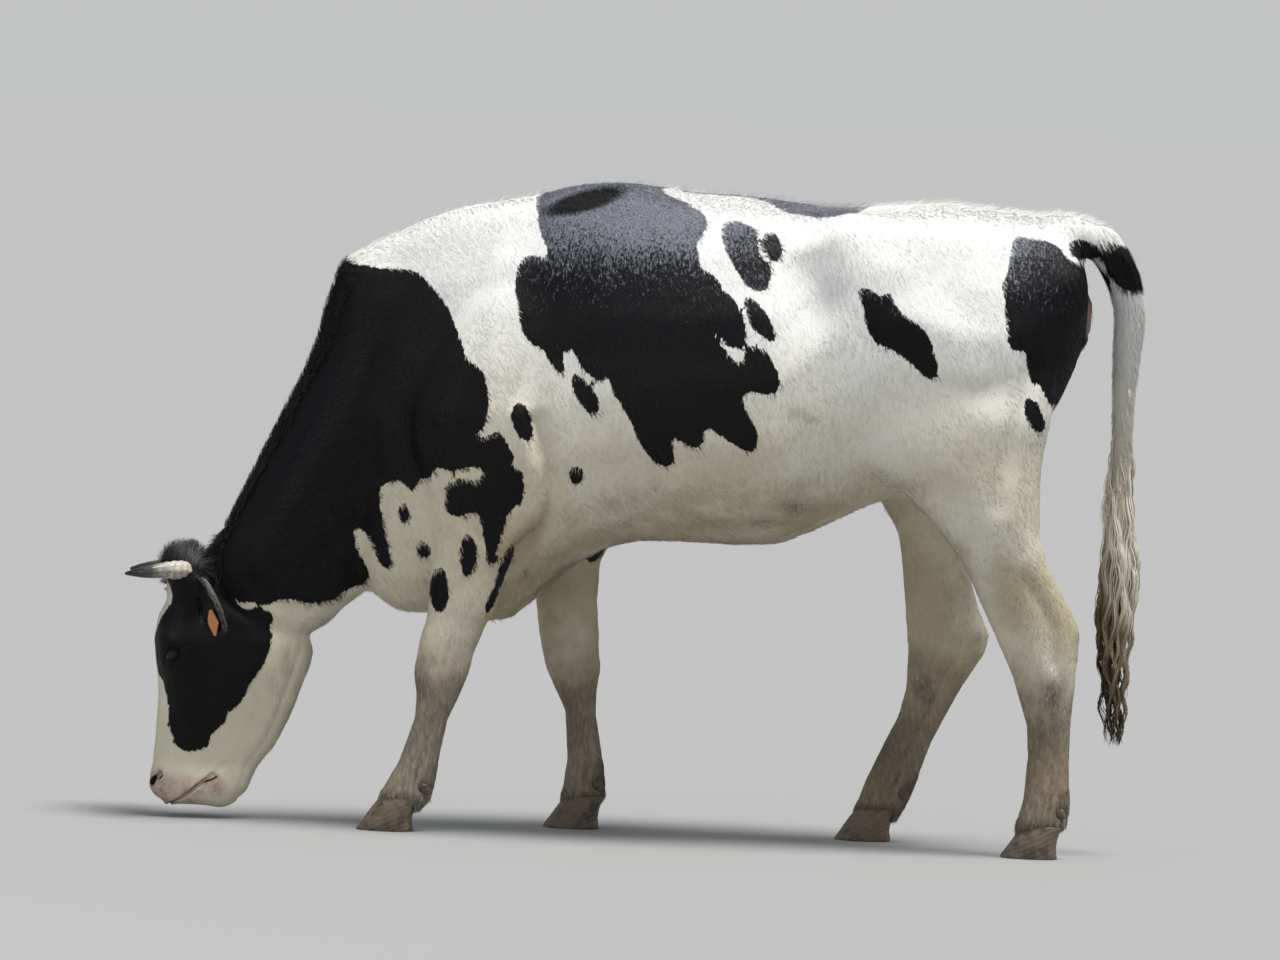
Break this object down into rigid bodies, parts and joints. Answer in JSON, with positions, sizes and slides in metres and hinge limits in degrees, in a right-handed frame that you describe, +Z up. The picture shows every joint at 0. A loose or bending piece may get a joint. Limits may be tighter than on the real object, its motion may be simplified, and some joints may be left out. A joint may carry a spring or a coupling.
{
  "type": "dairy heifer",
  "caption": "Life-size black and white horned dairy heifer, head down as if grazing, with its tail hanging clear of the rump.",
  "frame": {"origin": "on the ground under the middle of the animal's length and width, from the tips of the horns to the back of the tail", "axes": "+Z up, the animal faces -X, its left side faces -Y"},
  "size_m": [2.1873, 0.6066, 1.413],
  "materials": {
    "hide": "matte",
    "shank": "matte",
    "nose": "satin",
    "switch_hair": "matte",
    "horn": "satin",
    "hoof": "matte",
    "eye": "gloss",
    "ear_tag": "satin",
    "coat": "matte"
  },
  "bodies": {
    "root": {"muzzle": "nose", "head": "hide", "neck": "hide", "chest": "hide", "barrel": "hide", "rump": "hide", "left_horn": "horn", "left_ear": "hide", "left_ear_tag": "ear_tag", "left_eye": "eye", "right_horn": "horn", "right_ear": "hide", "right_ear_tag": "ear_tag", "right_eye": "eye", "tail_root": "hide", "tail_dock": "hide", "tail_switch": "switch_hair", "foreleg_left_upper": "hide", "foreleg_left_lower": "shank", "foreleg_right_upper": "hide", "foreleg_right_lower": "shank", "hindleg_left_upper": "hide", "hindleg_left_lower": "shank", "hindleg_right_upper": "hide", "hindleg_right_lower": "shank", "foreleg_left_claw_outer": "hoof", "foreleg_left_claw_inner": "hoof", "foreleg_left_dewclaw_outer": "hoof", "foreleg_left_dewclaw_inner": "hoof", "foreleg_right_claw_outer": "hoof", "foreleg_right_claw_inner": "hoof", "foreleg_right_dewclaw_outer": "hoof", "foreleg_right_dewclaw_inner": "hoof", "hindleg_left_claw_outer": "hoof", "hindleg_left_claw_inner": "hoof", "hindleg_left_dewclaw_outer": "hoof", "hindleg_left_dewclaw_inner": "hoof", "hindleg_right_claw_outer": "hoof", "hindleg_right_claw_inner": "hoof", "hindleg_right_dewclaw_outer": "hoof", "hindleg_right_dewclaw_inner": "hoof"}
  },
  "joints": []
}
